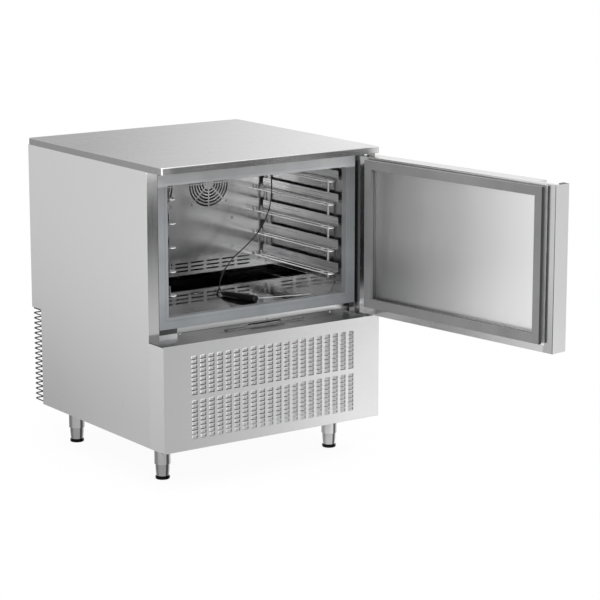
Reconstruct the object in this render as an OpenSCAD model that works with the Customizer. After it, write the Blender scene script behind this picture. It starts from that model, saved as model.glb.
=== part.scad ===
// Undercounter blast chiller with a five-level tray chamber and a side-hinged door.
// Frame: +X to the right as seen from the front, +Y to the back, +Z up, in millimetres.
// Origin: on the floor, at the middle of the worktop's footprint.
// The door is drawn closed and then turned open about its pins.

/* [Cabinet] */
// Width of the worktop and the cabinet
body_w = 800; // [720:1:900]
// Depth of the worktop
body_d = 800; // [720:1:880]
// Height of the worktop's upper face above the floor
body_h = 985; // [890:1:1080]
// Thickness of the worktop's edge
top_t = 21; // [18:1:26]
// Distance from the worktop's front edge back to the front of the cabinet
door_zone = 81; // [80:1:90]
// Height of the legs under the cabinet
leg_h = 122; // [110:1:130]
// Thickness of the folded steel sheets
sheet = 1.5; // [1.2:0.1:2]

/* [Chamber] */
// Width of the steel stile on each side of the opening's plastic frame
stile_w = 38; // [34:1:44]
// Width of the plastic frame round the opening
frame_w = 33; // [30:1:36]
// Height of the steel strip between the plastic frame and the worktop
rail_h = 14; // [12:1:24]
// Height of the fascia strip between the lower panel and the plastic frame
fascia_h = 32; // [30:1:40]
// Thickness of the liner sheet
liner_t = 1.2; // [1:0.1:1.5]

/* [Door] */
// Angle at which the door stands open
door_open = 98; // [0:1:110]
// Thickness of the door without its gasket
door_t = 57; // [50:1:60]
// Width of the mouth of the finger channel
grip_w = 63; // [40:1:66]
// Radius of the hinge pins
pin_r = 6; // [5:0.5:7]

/* [Tray racks] */
// Number of tray levels
levels = 5; // [3:1:5]
// Height of the sheet band of each level
band_h = 28; // [20:1:30]
// Thickness of the runner wires
wire_d = 4.6; // [4:0.2:5]

/* [Air grilles] */
// Outer radius of each round fan grille
grille_r = 75; // [60:1:76]
// Distance of each fan from the middle of the cover
fan_x = 106; // [90:1:110]
// Rows of air slots at the cover's lower edge
slot_rows = 3; // [1:1:3]

/* [Lower panel] */
// Height of the lower panel's upper edge above the ground
panel_top = 450; // [410:1:480]
// Columns of pressed louvres
louvre_cols = 20; // [10:1:22]
// Rows of louvres in each of the two banks
louvre_rows = 9; // [4:1:9]

/* [Legs and guard] */
// Inset of each leg from the side of the cabinet
leg_in = 85; // [75:1:100]
// Radius of the outer leg tube
leg_r = 25; // [23:0.5:28]
// Number of guard wires at the rear
guard_n = 19; // [9:1:19]
// Thickness of the guard wires
guard_d = 4; // [3:0.5:5]

/* [Hidden] */
$fn = 48;
e = 0.01;

// Planes and heights of the cabinet
hw = body_w / 2;
y_front = -body_d / 2;
y_back = body_d / 2;
y_box = y_front + door_zone;
z_top = body_h - top_t;
z_notch = panel_top - 15;
y_notch = y_back - 59;
stile_x = hw - stile_w;
frame_z0 = panel_top + fascia_h;
frame_z1 = z_top - rail_h;
frame_out = 2;
frame_in = 22;
y_liner = y_box + frame_in;
y_rear = y_back - 65;
box_z0 = panel_top + 16;

// Chamber: half width, floor, height and the plane of the evaporator's cover
ch_hw = stile_x - frame_w;
sill_z = frame_z0 + frame_w + 2;
ch_z0 = sill_z - 9;
ch_z1 = frame_z1 - frame_w;
ch_h = ch_z1 - ch_z0;
y_cover = y_rear - 209;
cover_z0 = ch_z0 + 27;
cover_hw = ch_hw - 1.2;
gland_x = ch_hw - 59;
gland_y = y_box + 328;

// Door, drawn closed
door_x = hw - 2;
door_z0 = panel_top + 8;
door_h = z_top - 9 - door_z0;
door_y1 = y_box - 21;
door_y0 = door_y1 - door_t;
hinge_x = hw - 15;
hinge_y = y_front + 26;
seal_x = stile_x - 1;
seal_z0 = frame_z0 + 2;
seal_z1 = door_z0 + door_h - 7;
seal_w = 28;
dish = 5;
dish_in = 2;
grip_d = door_t - 19;
lip_w = 22;
lip_t = 20;
bush_r = pin_r + 3;
bush_h = 20;
plate_t = 3;

// Controls on the door's outer face
ctl_x = 0;
ctl_z = door_z0 + door_h - 50;
ctl_w = 250;
ctl_h = 52;
ctl_t = 3;
btn_r = 7;
btn_x = [-96, 60, 84, 108];

// Racks
band_x = ch_hw - 18;
band_y0 = y_box + 17;
band_y1 = y_cover - 12;
level_z0 = ch_z0 + 72.5;
level_step = (ch_h - 115) / (levels - 1);
post_x = ch_hw - 11;
post_r = 4;
post_y = [y_box + 76, y_cover - 18];
rail_x = ch_hw - 23;
rail_gap = 24;
rail_y0 = y_box + 24;
rail_y1 = y_cover - 8;

// Drip tray and its slot in the fascia
tray_x = 18;
tray_hw = 143;
tray_d = 330;
tab_hw = 60;
slot_h = 7;
drain_x = -40;
drain_y = y_box + 301;

// Rear guard: heights of its lowest and highest wire, the last wire of the lower section, and the
// height of the mains gland between the sections
guard_z0 = leg_h + 9;
guard_z1 = z_notch - 1 - guard_d / 2;
guard_step = (guard_z1 - guard_z0) / (guard_n - 1);
guard_split = floor((guard_n - 1) * 0.3);
gland_z = guard_z0 + (guard_split + 0.5) * guard_step;

// Fans
fan_z = ch_z1 - 90;
cfan_x = -90;
cfan_r = 118;

// Machine compartment: floor, condenser and compressor
cz = leg_h + 3.5;
cond_h = panel_top - sheet - cz - 23;
cond_y = y_box + 13;
cfan_z = cz + cond_h / 2 + 9.5;
comp_x = hw - 195;
comp_y = y_back - 210;
pipe_z = cz + 235;
condenser_x1 = 112.5;
ebox_x = -hw + 16;
ebox_y = y_back - 330;

// Probe: the cable's route from the ceiling gland to the handle's end, then the handle's ends and
// the needle's ends. They are measured from probe_at and drawn for a chamber 409 mm high: what
// hangs above 20 mm follows the chamber's height
probe_at = [ch_hw - 329, y_box + 319, ch_z0];
cable_r = 2.1;
cable_pts = [[270, 9, 401], [270, 9, 374], [271, 9, 342], [272, 8, 309], [269, 7, 275],
  [262, 8, 237], [249, 15, 198], [233, 22, 168], [208, 27, 139], [176, 32, 112],
  [143, 35, 87], [120, 36, 64], [102, 37, 41], [88, 31, 19], [78, 21, 7], [68, 7, 3.6],
  [50, -15, 3.4], [30, -39, 3.6], [13, -61, 5], [4, -78, 7.4], [1.6, -92, 9],
  [3.1, -104.6, 9.2]];
handle_a = [3, -104, 9.2];
handle_b = [32.8, -254, 12];
needle_a = [38, -245, 11.7];
needle_b = [240, -256, 2.6];

// A flat rounded rectangle, centred
module rrect(w, d, r) {
  square([w - 2 * r, d], center = true);
  square([w, d - 2 * r], center = true);
  for (sx = [-1, 1], sy = [-1, 1])
    translate([sx * (w / 2 - r), sy * (d / 2 - r)])
      circle(r);
}

// A slab with round corners and a round upper edge, with its lower face at z = 0
module round_slab(w, d, h, rc, re) {
  linear_extrude(h - re)
    rrect(w, d, rc);
  linear_extrude(h)
    rrect(w - 2 * re, d - 2 * re, rc - re);
  for (s = [-1, 1]) {
    translate([s * (w / 2 - re), 0, h - re])
      rotate([90, 0, 0])
        cylinder(h = d - 2 * rc, r = re, center = true);
    translate([0, s * (d / 2 - re), h - re])
      rotate([0, 90, 0])
        cylinder(h = w - 2 * rc, r = re, center = true);
  }
  for (sx = [-1, 1], sy = [-1, 1])
    translate([sx * (w / 2 - rc), sy * (d / 2 - rc), h - re])
      rotate_extrude()
        translate([rc - re, 0])
          circle(re);
}

// A box given by two opposite corners
module span(a, b) {
  translate(a)
    cube(b - a);
}

// A straight rod between two points
module rod(a, b, r) {
  v = b - a;
  translate(a)
    rotate([0, acos(v.z / norm(v)), atan2(v.y, v.x)])
      cylinder(h = norm(v), r = r);
}

// Head of a pan-head screw, seated at the origin and facing the front
module screw_head() {
  rotate([90, 0, 0])
    cylinder(h = 1.8, r = 4);
}

// Everything on the door is placed closed and turned with it
module door_pose() {
  translate([hinge_x, hinge_y, 0])
    rotate([0, 0, door_open])
      translate([-hinge_x, -hinge_y, 0])
        children();
}

// ---- Cabinet ----

module worktop() {
  color("Silver")
    translate([0, 0, z_top])
      difference() {
        round_slab(body_w, body_d, top_t, 10, 4);
        translate([0, 0, -1])
          linear_extrude(top_t - sheet + 1)
            rrect(body_w - 4, body_d - 4, 8);
      }
}

module worktop_core() {
  color("Tan")
    translate([0, 0, z_top])
      linear_extrude(top_t - sheet)
        rrect(body_w - 4, body_d - 4, 8);
}

// Side panel for side s: wall with the lower rear cut away, front stile and rear flange
module side_panel(s) {
  color("LightGray")
    mirror([s > 0 ? 1 : 0, 0, 0]) {
      difference() {
        span([-hw, y_box, leg_h], [-hw + sheet, y_back, z_top]);
        span([-hw - 1, y_notch, leg_h - 1], [-hw + sheet + 1, y_back + 1, z_notch]);
      }
      span([-hw, y_box, leg_h], [-stile_x - 0.5, y_box + sheet, z_top]);
      span([-hw, y_back - sheet, z_notch], [-hw + 21, y_back, z_top]);
      span([-hw, y_notch - sheet, leg_h], [-hw + 16, y_notch, z_notch]);
      span([-hw, y_box, leg_h], [-hw + 16, y_notch, leg_h + sheet]);
    }
}

module side_panel_left() {
  side_panel(-1);
}

module side_panel_right() {
  side_panel(1);
}

module back_panel() {
  color("LightGray") {
    span([-hw + 21.2, y_back - sheet, z_notch], [hw - 21.2, y_back, z_top]);
    span([-hw + 21.2, y_back - 22, z_notch], [hw - 21.2, y_back, z_notch + sheet]);
  }
}

// Steel strip between the plastic frame and the worktop
module front_rail() {
  color("LightGray")
    span([-stile_x, y_box, frame_z1], [stile_x, y_box + sheet, z_top]);
}

module cabinet_foam() {
  color("Khaki")
    difference() {
      span([-hw + sheet, y_liner, box_z0], [hw - sheet, y_back - sheet, z_top]);
      span([-ch_hw - liner_t, y_liner - 1, ch_z0 - liner_t],
        [ch_hw + liner_t, y_rear + liner_t, ch_z1 + liner_t]);
      translate([drain_x, drain_y, box_z0 - 1])
        cylinder(h = ch_z0 - box_z0 + 1, r = 13);
      translate([gland_x, gland_y, ch_z1])
        cylinder(h = 26, r = 8);
    }
}

// Liner: a sheet box open at the front
module chamber_liner() {
  color("Silver")
    difference() {
      span([-ch_hw - liner_t, y_liner, ch_z0 - liner_t],
        [ch_hw + liner_t, y_rear + liner_t, ch_z1 + liner_t]);
      span([-ch_hw, y_liner - 1, ch_z0], [ch_hw, y_rear, ch_z1]);
      translate([drain_x, drain_y, ch_z0 - 5])
        cylinder(h = 10, r = 13);
      translate([gland_x, gland_y, ch_z1 - 5])
        cylinder(h = 10, r = 8);
    }
}

// Loose floor pan with a low upstand on three sides
module floor_pan() {
  color("Silver")
    difference() {
      span([-ch_hw, y_liner, ch_z0], [ch_hw, y_rear, ch_z0 + 37]);
      span([-ch_hw + 1, y_liner - 1, ch_z0 + 1], [ch_hw - 1, y_rear - 1, ch_z0 + 38]);
      translate([drain_x, drain_y, ch_z0 - 5])
        cylinder(h = 10, r = 13);
    }
}

// Plastic frame that carries the gasket's counter face
module breaker_frame() {
  color("LightSlateGray")
    difference() {
      union() {
        span([-stile_x, y_box - frame_out, frame_z0],
          [stile_x, y_box, frame_z1]);
        span([-stile_x + 4, y_box - e, frame_z0 + 4],
          [stile_x - 4, y_liner, frame_z1 - 4]);
      }
      span([-ch_hw, y_box - 9, sill_z], [ch_hw, y_liner + 9, ch_z1]);
      difference() {
        span([-ch_hw - 12, y_box - frame_out - 1, sill_z - 12],
          [ch_hw + 12, y_box - frame_out + 0.8, ch_z1 + 12]);
        span([-ch_hw - 10, y_box - 9, sill_z - 10], [ch_hw + 10, y_box + 9, ch_z1 + 10]);
      }
    }
}

module box_underside() {
  color("LightGray")
    difference() {
      span([-hw + 17, y_liner, box_z0 - sheet], [hw - 17, y_back - 24, box_z0]);
      translate([drain_x, drain_y, box_z0 - 5])
        cylinder(h = 10, r = 13);
    }
}

// Rails between the shelf and the box, which also guide the drip tray
module box_spacers() {
  color("DarkGray")
    for (s = [-1, 1]) {
      span([tray_x + s * (tray_hw + 9) - 8, y_box + 6, panel_top],
        [tray_x + s * (tray_hw + 9) + 8, y_back - 60, box_z0 - sheet]);
      span([s * (stile_x - 12) - 22, y_box + 6, panel_top],
        [s * (stile_x - 12) + 22, y_back - 60, box_z0 - sheet]);
    }
}

module machine_shelf() {
  color("LightGray")
    difference() {
      union() {
        span([-hw + sheet, y_box + sheet, panel_top - sheet],
          [hw - sheet, y_notch - 4, panel_top]);
        span([-stile_x, y_box, panel_top - sheet], [stile_x, y_box + sheet, frame_z0]);
      }
      tray_slot();
    }
}

// Slot that the drip tray's lip and pull tab pass through
module tray_slot() {
  span([tray_x - tray_hw - 3, y_box - 9, panel_top],
    [tray_x + tray_hw + 3, y_box + 5, panel_top + 12.5]);
}

module base_tray() {
  color("Gray") {
    span([-hw + 2, y_box + 2, leg_h + sheet], [hw - 2, y_notch - 2, leg_h + 3.5]);
    for (y = [y_box + 2, y_notch - 4])
      span([-hw + 18, y, leg_h + sheet], [hw - 18, y + 2, leg_h + 26]);
  }
}

// Lower panel: a folded pan with two banks of pressed louvres
module lower_front_panel() {
  louvre_px = body_w * 0.03825;
  louvre_pz = (panel_top - leg_h) / 24.12;
  lx0 = -(louvre_cols - 1) / 2 * louvre_px;
  tops = [panel_top - 3.346 * louvre_pz, panel_top - 13.38 * louvre_pz];
  color("WhiteSmoke") {
    translate([0, y_front + sheet, 0])
      rotate([90, 0, 0])
        linear_extrude(sheet)
          difference() {
            translate([-hw, leg_h])
              square([body_w, panel_top - leg_h]);
            for (i = [0:louvre_cols - 1], t = tops, j = [0:louvre_rows - 1])
              translate([lx0 + i * louvre_px - 10, t - j * louvre_pz - 3.4])
                square([20, 3.4]);
          }
    for (t = tops, j = [0:louvre_rows - 1], i = [0:louvre_cols - 1])
      translate([lx0 + i * louvre_px - 10.6, y_front, t - j * louvre_pz])
        rotate([90, 0, 90])
          linear_extrude(21.2)
            polygon([[e, 3.4], [-2.6, 0], [-2.6, -2.2], [-1.9, -2.2], [e, 0.2]]);
    span([-hw, y_front, panel_top - sheet], [hw, y_box, panel_top]);
    for (s = [-1, 1])
      span([s * (hw - sheet / 2) - sheet / 2, y_front, leg_h],
        [s * (hw - sheet / 2) + sheet / 2, y_box, panel_top]);
    span([-hw, y_front, leg_h], [hw, y_front + 20, leg_h + sheet]);
  }
}

module fascia_strip() {
  color("Silver")
    difference() {
      span([-stile_x + 62, y_box - sheet, panel_top], [stile_x - 19, y_box, frame_z0]);
      span([tray_x - tray_hw - 3, y_box - 9, panel_top - 1],
        [tray_x + tray_hw + 3, y_box + 5, panel_top + slot_h]);
      translate([tray_x, y_box, panel_top])
        rotate([90, 0, 0])
          linear_extrude(9, center = true)
            polygon([[-tab_hw - 7, 0], [-tab_hw, 12], [tab_hw, 12], [tab_hw + 7, 0]]);
      translate([tray_x + 9, y_box, panel_top + 20])
        rotate([90, 0, 0])
          cylinder(h = 9, r = 2.5, center = true);
    }
}

// Hinge bracket: a plate with the pin and an upright leg on the stile; up = 1 or -1
module hinge_bracket(z, up) {
  color("Silver")
    translate([0, 0, z])
      mirror([0, 0, up > 0 ? 0 : 1]) {
        linear_extrude(plate_t) {
          translate([stile_x - 18.5, y_box - 40])
            square([stile_w + 15.5, 40]);
          translate([hinge_x, hinge_y])
            circle(pin_r + 6);
          translate([hinge_x - 36, hinge_y])
            square([42 + pin_r, y_box - hinge_y]);
        }
        span([stile_x + 1, y_box - plate_t, 0], [hw - 3, y_box, 30]);
        translate([hinge_x, hinge_y, 0])
          cylinder(h = 23, r = pin_r);
      }
}

module hinge_bracket_bottom() {
  hinge_bracket(panel_top, 1);
}

module hinge_bracket_top() {
  hinge_bracket(z_top, -1);
}

// Leg positions: front pair and rear pair
legs = [[-hw + leg_in, y_front + 149], [hw - leg_in, y_front + 149],
  [-hw + leg_in, y_back - 126], [hw - leg_in, y_back - 126]];
sleeve_z = 48;
stem_r = leg_r - 3.4;

module leg_sleeves() {
  color("DimGray")
    for (p = legs)
      translate([p.x, p.y, 0])
        difference() {
          union() {
            translate([0, 0, sleeve_z])
              cylinder(h = leg_h + sheet - sleeve_z, r = leg_r);
            translate([0, 0, leg_h - 3])
              cylinder(h = 3 + sheet, r = leg_r + 13);
          }
          translate([0, 0, sleeve_z - 1])
            cylinder(h = leg_h - 6 - sleeve_z, r = stem_r + 0.1);
        }
}

// Foot: a stem that screws out of the sleeve, a tapered collar and a round base
module foot(p) {
  color("DarkSlateGray")
    translate([p.x, p.y, 0])
      rotate_extrude()
        polygon([[0, 0], [leg_r - 4, 0], [leg_r - 2.5, 1.5], [leg_r - 2.5, 8], [leg_r - 5.5, 10],
          [leg_r - 3.4, 34], [leg_r - 3.4, 84], [0, 84]]);
}

module foot_front_left() {
  foot(legs[0]);
}

module foot_front_right() {
  foot(legs[1]);
}

module foot_rear_left() {
  foot(legs[2]);
}

module foot_rear_right() {
  foot(legs[3]);
}

// Rear guard: bent wires round the open lower rear, in two sections with upright stays; the mains
// cable passes between the sections
module rear_guard() {
  gr = guard_d / 2;
  gx = hw - gr - 0.5;
  gy = y_back - gr - 0.5;
  bend = 10;
  sections = [[guard_z0 - gr, guard_z0 + guard_split * guard_step + gr],
    [guard_z0 + (guard_split + 1) * guard_step - gr, guard_z1 + gr]];
  color("Black") {
    for (i = [0:guard_n - 1])
      translate([0, 0, guard_z0 + i * guard_step]) {
        rotate([0, 90, 0])
          translate([0, gy, 0])
            cylinder(h = 2 * (gx - bend), r = gr, center = true);
        for (s = [-1, 1]) {
          translate([s * gx, y_notch + 0.3, 0])
            rotate([-90, 0, 0])
              cylinder(h = gy - bend - y_notch - 0.3, r = gr);
          translate([s * (gx - bend), gy - bend, 0])
            rotate([0, 0, s > 0 ? 0 : 90])
              rotate_extrude(angle = 90)
                translate([bend, 0])
                  circle(gr);
        }
      }
    for (z = sections) {
      for (x = [-gx + 40, -130, 130, gx - 40])
        translate([x, gy - 1.5 * gr, z[0]])
          cylinder(h = z[1] - z[0], r = gr);
      for (s = [-1, 1])
        translate([s * (gx - 1.5 * gr), y_notch + 6, z[0]])
          cylinder(h = z[1] - z[0], r = gr);
    }
  }
}

// ---- Chamber fittings ----

// Ring slots of one fan grille, as a flat shape
module grille_slots() {
  difference() {
    for (k = [0:5])
      difference() {
        circle(grille_r - k * grille_r * 0.132);
        circle(grille_r - k * grille_r * 0.132 - grille_r * 0.068);
      }
    for (a = [0:45:179])
      rotate([0, 0, a])
        square([2 * grille_r + 2, 5], center = true);
  }
}

module evaporator_cover() {
  color("Silver") {
    translate([0, y_cover + 1.2, 0])
      rotate([90, 0, 0])
        linear_extrude(1.2)
          difference() {
            translate([-cover_hw, cover_z0])
              square([2 * cover_hw, ch_z1 - cover_z0 - 0.3]);
            for (s = [-1, 1])
              translate([s * fan_x, fan_z])
                grille_slots();
            for (i = [-4:4], j = [0:slot_rows - 1])
              translate([i * 60 - 24.5, cover_z0 + 11 + j * 12.6])
                square([49, 5]);
          }
    span([-cover_hw, y_cover, cover_z0], [cover_hw, y_cover + 14, cover_z0 + 1.2]);
    for (s = [-1, 1])
      span([s * (cover_hw - 0.6) - 0.6, y_cover, cover_z0],
        [s * (cover_hw - 0.6) + 0.6, y_cover + 30, ch_z1 - 0.3]);
    span([-cover_hw, y_cover, ch_z1 - 1.5], [cover_hw, y_cover + 30, ch_z1 - 0.3]);
  }
}

// Finned coil: fins on two end plates with tube rows through them
module evaporator_coil() {
  chw = ch_hw - 77;
  cy = y_cover + 79;
  color("LightSteelBlue") {
    for (x = [-chw, chw - 1.2])
      span([x, cy, cover_z0 + 40], [x + 1.2, cy + 95, ch_z1]);
    for (x = [-chw - 20, chw])
      span([x, cy, ch_z1 - 1.5], [x + 20, cy + 95, ch_z1]);
    for (i = [0:floor((2 * chw - 12) / 12)])
      span([-chw + 6 + i * 12, cy + 3, cover_z0 + 45],
        [-chw + 6.8 + i * 12, cy + 91, ch_z1 - 37]);
    for (y = [cy + 23, cy + 71], z = [cover_z0 + 70:50:ch_z1 - 60])
      translate([-chw - 10, y, z])
        rotate([0, 90, 0])
          cylinder(h = 2 * chw + 20, r = 5, $fn = 24);
  }
}

module evaporator_motors() {
  color("DimGray")
    for (s = [-1, 1])
      translate([s * fan_x, 0, fan_z]) {
        translate([0, y_cover + 30, 0])
          rotate([-90, 0, 0])
            cylinder(h = 44, r = 30);
        translate([0, y_cover + 8, 0])
          rotate([-90, 0, 0])
            cylinder(h = 23, r = 3);
        for (a = [-1, 1], b = [-1, 1]) {
          translate([a * 66, y_cover + 1.2, b * 64])
            rotate([-90, 0, 0])
              cylinder(h = 35, r = 3, $fn = 24);
          rod([a * 66, y_cover + 36, b * 64], [a * 12, y_cover + 36, b * 12], 2.5);
        }
      }
}

// Axial fan: a hub with a running bore and five pitched blades
module evaporator_fan(x) {
  color("SlateGray")
    translate([x, y_cover, fan_z])
      difference() {
        union() {
          translate([0, 7, 0])
            rotate([-90, 0, 0])
              cylinder(h = 18, r = 14);
          for (a = [0:72:359])
            rotate([0, a, 0])
              translate([13, 16, 0])
                rotate([28, 0, 0])
                  translate([0, -0.75, -14])
                    cube([54, 1.5, 28]);
        }
        rotate([-90, 0, 0])
          cylinder(h = 60, r = 3.05);
      }
}

module evaporator_fan_left() {
  evaporator_fan(-fan_x);
}

module evaporator_fan_right() {
  evaporator_fan(fan_x);
}

module drain_fitting() {
  color("Silver")
    translate([drain_x, drain_y, 0])
      difference() {
        union() {
          translate([0, 0, box_z0 - 3.5])
            cylinder(h = ch_z0 - box_z0 + 5, r = 13);
          translate([0, 0, ch_z0 + 1])
            cylinder(h = 1.4, r = 17);
        }
        translate([0, 0, box_z0 - 5])
          cylinder(h = 80, r = 10);
      }
}

// Drip tray: a shallow pan with a front lip and a pull tab
module drip_tray() {
  y0 = y_box + 3;
  color("Silver")
    translate([tray_x, 0, 0]) {
      difference() {
        span([-tray_hw, y0, panel_top], [tray_hw, y0 + tray_d, panel_top + slot_h - 0.4]);
        span([-tray_hw + 1, y0 + 1, panel_top + 1],
          [tray_hw - 1, y0 + tray_d - 1, panel_top + 12]);
      }
      span([-tray_hw, y_box - 10, panel_top + 3], [tray_hw, y0 + e, panel_top + 4.2]);
      span([-tray_hw, y_box - 10, panel_top + 1.2], [tray_hw, y_box - 8.8, panel_top + 4.2]);
      span([-tab_hw, y_box - 27, panel_top + 1.4], [tab_hw, y_box - 8.8, panel_top + 2.6]);
    }
}

// Tray rack frames: posts with wall studs and the sheet band of each level
module rack_frames() {
  color("Gainsboro")
    for (s = [0, 1])
      mirror([s, 0, 0]) {
        for (y = post_y) {
          translate([post_x - 2, y, level_z0 - 26])
            cylinder(h = (levels - 1) * level_step + band_h + 28, r = post_r);
          for (k = [0, levels - 1])
            translate([post_x - 2, y, level_z0 + k * level_step + 14])
              rotate([0, 90, 0])
                cylinder(h = ch_hw - post_x + 2, r = 5);
        }
        for (k = [0:levels - 1])
          translate([0, 0, level_z0 + k * level_step]) {
            span([band_x - 0.6, band_y0, 0], [band_x + 0.6, band_y1, band_h]);
            span([band_x - 9, band_y0, 0], [band_x + 0.6, band_y1, 1.2]);
            for (y = post_y)
              span([band_x, y - 6, 3], [post_x - 2, y + 6, band_h - 3]);
          }
      }
}

// Looped runner wires of side s, one loop for each level, held at the posts by cross wires
module tray_runners(s) {
  wr = wire_d / 2;
  color("Gainsboro")
    mirror([s < 0 ? 1 : 0, 0, 0])
      for (k = [0:levels - 1])
        translate([0, 0, level_z0 + k * level_step - 5.5]) {
          for (x = [rail_x, rail_x - rail_gap]) {
            rod([x, rail_y0 + rail_gap / 2, 0], [x, rail_y1, 0], wr);
            rod([x, rail_y1, 0], [x, rail_y1, 12], wr);
            translate([x, rail_y1, 0])
              sphere(wr);
          }
          translate([rail_x - rail_gap / 2, rail_y0 + rail_gap / 2, 0])
            rotate([0, 0, 180])
              rotate_extrude(angle = 180)
                translate([rail_gap / 2, 0])
                  circle(wr);
          for (y = post_y)
            rod([rail_x - rail_gap, y, 0], [post_x - 2 - post_r - 0.3, y, 0], wr * 0.9);
        }
}

module tray_runners_left() {
  tray_runners(-1);
}

module tray_runners_right() {
  tray_runners(1);
}

module probe_gland() {
  color("Black")
    translate([gland_x, gland_y, 0]) {
      translate([0, 0, ch_z1 - 1])
        cylinder(h = 24, r = 8);
      translate([0, 0, ch_z1 - 8])
        cylinder(h = 8, r = 11, $fn = 6);
    }
}

// Sweep of a round section along a smooth curve through the given points
function cr(p0, p1, p2, p3, t) =
  0.5 * (2 * p1 + (p2 - p0) * t + (2 * p0 - 5 * p1 + 4 * p2 - p3) * t * t
  + (3 * p1 - p0 - 3 * p2 + p3) * t * t * t);
function smooth_path(p, m) = let (n = len(p))
  [for (i = [0:n - 2], k = [0:m - 1])
    cr(p[max(i - 1, 0)], p[i], p[i + 1], p[min(i + 2, n - 1)], k / m), p[n - 1]];
function hang(z) = z <= 20 ? z : 20 + (z - 20) * (ch_h - 28) / 381;
function unit(v) = v / norm(v);
function tangent(p, i) = unit(p[min(i + 1, len(p) - 1)] - p[max(i - 1, 0)]);
function carry(p, i, n) = let (t = tangent(p, i), u = unit(n - (n * t) * t))
  i == len(p) - 1 ? [u] : concat([u], carry(p, i + 1, u));

module sweep(p, r, sides) {
  nn = carry(p, 0, [0, 1, 0]);
  pts = [for (i = [0:len(p) - 1]) let (t = tangent(p, i), u = nn[i], v = cross(t, u))
    for (k = [0:sides - 1]) let (a = 360 * k / sides)
      p[i] + r * (cos(a) * u + sin(a) * v)];
  last = len(p) - 1;
  faces = concat(
    [[for (k = [0:sides - 1]) k]],
    [for (i = [0:last - 1], k = [0:sides - 1]) let (a = i * sides, b = a + sides,
      k2 = (k + 1) % sides) [a + k, b + k, b + k2, a + k2]],
    [[for (k = [0:sides - 1]) last * sides + sides - 1 - k]]);
  polyhedron(pts, faces, convexity = 10);
}

module probe_cable() {
  color("Black")
    translate(probe_at)
      sweep(smooth_path([for (p = cable_pts) [p.x, p.y, hang(p.z)]], 3), cable_r, 10);
}

// Frame with +Z along the line from a to b
module along(a, b) {
  v = b - a;
  translate(a)
    rotate([0, acos(v.z / norm(v)), atan2(v.y, v.x)])
      children();
}

module probe_handle() {
  hl = norm(handle_b - handle_a);
  color("Black")
    translate(probe_at)
      difference() {
        along(handle_a, handle_b)
          rotate_extrude()
            polygon([[0, 0.6], [4, 0.6], [5, 6], [7.5, 12], [10.5, hl - 24], [10.5, hl - 3],
              [8.5, hl], [0, hl]]);
        along(needle_a, needle_b)
          cylinder(h = 20, r = 1.5);
      }
}

module probe_needle() {
  nl = norm(needle_b - needle_a);
  color("Silver")
    translate(probe_at)
      along(needle_a, needle_b)
        rotate_extrude()
          polygon([[0, 0], [1.5, 0], [1.5, nl - 14], [0.4, nl], [0, nl]]);
}

// ---- Machine compartment ----

module compressor() {
  color("Black")
    translate([comp_x, comp_y, cz]) {
      translate([0, 0, 20])
        cylinder(h = 120, r = 78);
      translate([0, 0, 140])
        rotate_extrude()
          intersection() {
            square([80, 60]);
            translate([0, -53])
              circle(94, $fn = 96);
          }
      translate([-105, -70, 12])
        cube([210, 140, 3]);
      translate([0, 0, 15])
        cylinder(h = 6, r = 60);
      translate([-88, -18, 60])
        cube([20, 36, 48]);
    }
}

module compressor_mounts() {
  color("DarkSlateGray")
    for (sx = [-1, 1], sy = [-1, 1])
      translate([comp_x + sx * 92, comp_y + sy * 57, cz])
        difference() {
          cylinder(h = 12, r = 10);
          translate([0, 0, -1])
            cylinder(h = 14, r = 4);
        }
}

module condenser_coil() {
  color("DarkGray") {
    for (x = [-292, 111])
      span([x, cond_y, cz], [x + 1.5, cond_y + 60, cz + cond_h]);
    for (i = [0:39])
      span([-286 + i * 10, cond_y + 3, cz + 6], [-285.2 + i * 10, cond_y + 57, cz + cond_h - 6]);
    for (y = [cond_y + 16, cond_y + 44], z = [30:40:cond_h - 30])
      translate([-300, y, cz + z])
        rotate([0, 90, 0])
          cylinder(h = 420, r = 4.5, $fn = 24);
  }
}

module condenser_shroud() {
  color("Gray")
    difference() {
      union() {
        span([-292, cond_y + 60, cz], [112.5, cond_y + 61.5, cz + cond_h]);
        translate([cfan_x, cond_y + 61.4, cfan_z])
          rotate([-90, 0, 0])
            cylinder(h = 34, r = cfan_r + 8);
      }
      translate([cfan_x, cond_y + 46, cfan_z])
        rotate([-90, 0, 0])
          cylinder(h = 60, r = cfan_r + 6);
    }
}

module condenser_motor() {
  color("Black")
    translate([cfan_x, cond_y, cfan_z]) {
      translate([0, 118, 0])
        rotate([-90, 0, 0])
          cylinder(h = 70, r = 38);
      translate([0, 80, 0])
        rotate([-90, 0, 0])
          cylinder(h = 40, r = 4);
      translate([0, 0, cz - cfan_z]) {
        span([-34, 130, 0], [34, 176, 3]);
        span([-34, 151, 0], [34, 155, cfan_z - cz - 30]);
      }
    }
}

module condenser_fan() {
  color("SlateGray")
    translate([cfan_x, cond_y + 80, cfan_z])
      difference() {
        union() {
          rotate([-90, 0, 0])
            cylinder(h = 30, r = 22);
          for (a = [0:72:359])
            rotate([0, a, 0])
              translate([20, 14, 0])
                rotate([26, 0, 0])
                  translate([0, -1, -24])
                    cube([86, 2, 48]);
        }
        rotate([-90, 0, 0])
          cylinder(h = 80, r = 4.05, center = true);
      }
}

module liquid_receiver() {
  color("Black")
    translate([-20, comp_y + 35, cz])
      rotate_extrude()
        polygon([[0, 6], [20, 6], [38, 0], [38, 4], [45, 12], [45, 196], [30, 210], [0, 214]]);
}

// A chain of straight tubes with round elbows
module tube_run(pts, r) {
  for (i = [0:len(pts) - 2])
    rod(pts[i], pts[i + 1], r);
  for (i = [1:len(pts) - 2])
    translate(pts[i])
      sphere(r);
}

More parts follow.
